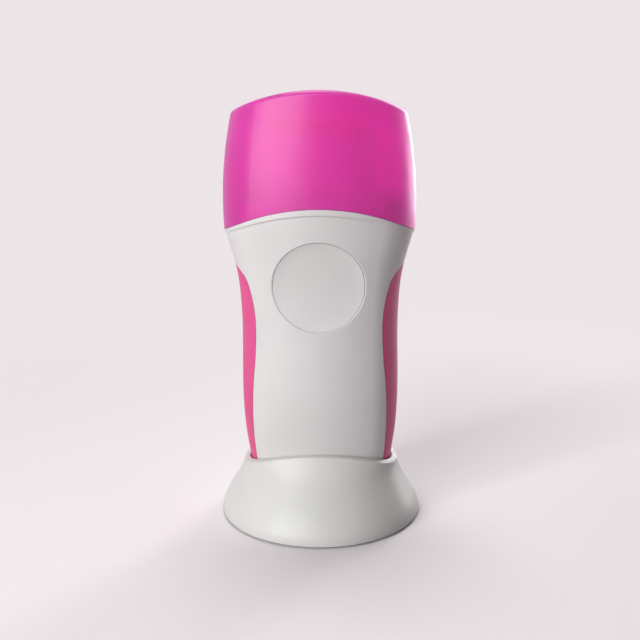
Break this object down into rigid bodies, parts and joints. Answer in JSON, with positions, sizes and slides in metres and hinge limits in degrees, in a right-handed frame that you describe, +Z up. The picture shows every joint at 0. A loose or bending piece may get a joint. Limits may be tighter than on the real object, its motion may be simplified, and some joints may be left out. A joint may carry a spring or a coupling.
{
  "type": "roll-on wax heater",
  "caption": "Hand-held roll-on wax heater with a translucent cap, side grips and a dished power button, standing in a flared mains dock that it lifts out of.",
  "frame": {"origin": "on the surface that the dock stands on, under the middle of its bounding box", "axes": "+Z up along the handset, +X to the right of someone who faces the button, +Y to the back, where the mains inlet is"},
  "size_m": [0.073, 0.0718, 0.1536],
  "materials": {
    "dock_white": "satin moulded ABS",
    "base_white": "fine matt moulded ABS",
    "inlet_black": "moulded PBT",
    "foot_rubber": "matt",
    "screw_steel": "zinc plated",
    "pin_nickel": "nickel plated",
    "contact_block_black": "moulded PBT",
    "spring_bronze": "rolled strip",
    "wire_brown": "PVC insulation",
    "wire_blue": "PVC insulation",
    "cover_white": "satin moulded ABS",
    "collar_white": "satin moulded ABS",
    "grip_pink": "satin soft-touch",
    "button_white": "satin moulded ABS",
    "chassis_grey": "glass-filled nylon",
    "sleeve_aluminium": "die cast",
    "gasket_silicone": "moulded silicone",
    "heater_case": "folded sheet",
    "clamp_steel": "sheet",
    "thermostat_body": "phenolic",
    "fuse_case": "tinned",
    "board_green": "solder mask",
    "switch_black": "moulded",
    "plunger_white": "moulded",
    "led_lens": "clear epoxy",
    "tank_clear": "clear polypropylene",
    "wax_pink": "set wax",
    "head_white": "moulded polypropylene",
    "roller_pink": "moulded",
    "cap_magenta": "tinted, satin outside"
  },
  "bodies": {
    "dock": {"dock_shell": "dock_white", "base_plate": "base_white", "base_screws": "screw_steel", "rubber_feet": "foot_rubber", "inlet_housing": "inlet_black", "inlet_pins": "pin_nickel", "contact_block": "contact_block_black", "contact_springs": "spring_bronze", "dock_wire_live": "wire_brown", "dock_wire_neutral": "wire_blue"},
    "handset": {"foot_cover": "cover_white", "contact_pads": "pin_nickel", "foot_screws": "screw_steel", "front_cover": "cover_white", "rear_cover": "cover_white", "grip_right": "grip_pink", "grip_left": "grip_pink", "housing_screws": "screw_steel", "collar_ring": "collar_white", "chassis": "chassis_grey", "heater_sleeve": "sleeve_aluminium", "sleeve_gasket": "gasket_silicone", "ptc_heater": "heater_case", "heater_clamp": "clamp_steel", "clamp_screws": "screw_steel", "thermostat": "thermostat_body", "thermal_fuse": "fuse_case", "handset_wire_live": "wire_brown", "handset_wire_neutral": "wire_blue", "link_wire_upper": "wire_brown", "link_wire_lower": "wire_blue", "circuit_board": "board_green", "tact_switch": "switch_black", "indicator_led": "led_lens"},
    "button": {"power_button": "button_white", "switch_plunger": "plunger_white"},
    "cartridge": {"cartridge_tank": "tank_clear", "wax_fill": "wax_pink", "roller_head": "head_white"},
    "roller": {"wax_roller": "roller_pink"},
    "cap": {"cap": "cap_magenta"}
  },
  "joints": [
    {"name": "handset_lift", "type": "slide", "parent": "dock", "child": "handset", "axis": [0, 0, 1], "range_m": [0, 0.03]},
    {"name": "button_press", "type": "slide", "parent": "handset", "child": "button", "axis": [0, 1, 0], "range_m": [0, 0.0006], "stiffness_N_per_m": 1500, "springref_m": -0.0005},
    {"name": "cartridge_lift", "type": "slide", "parent": "handset", "child": "cartridge", "axis": [0, 0, 1], "range_m": [0, 0.092]},
    {"name": "roller_spin", "type": "hinge", "parent": "cartridge", "child": "roller", "pos_m": [0, 0, 0.137], "axis": [1, 0, 0], "continuous": true},
    {"name": "cap_lift", "type": "slide", "parent": "cartridge", "child": "cap", "axis": [0, 0, 1], "range_m": [0, 0.048]}
  ]
}
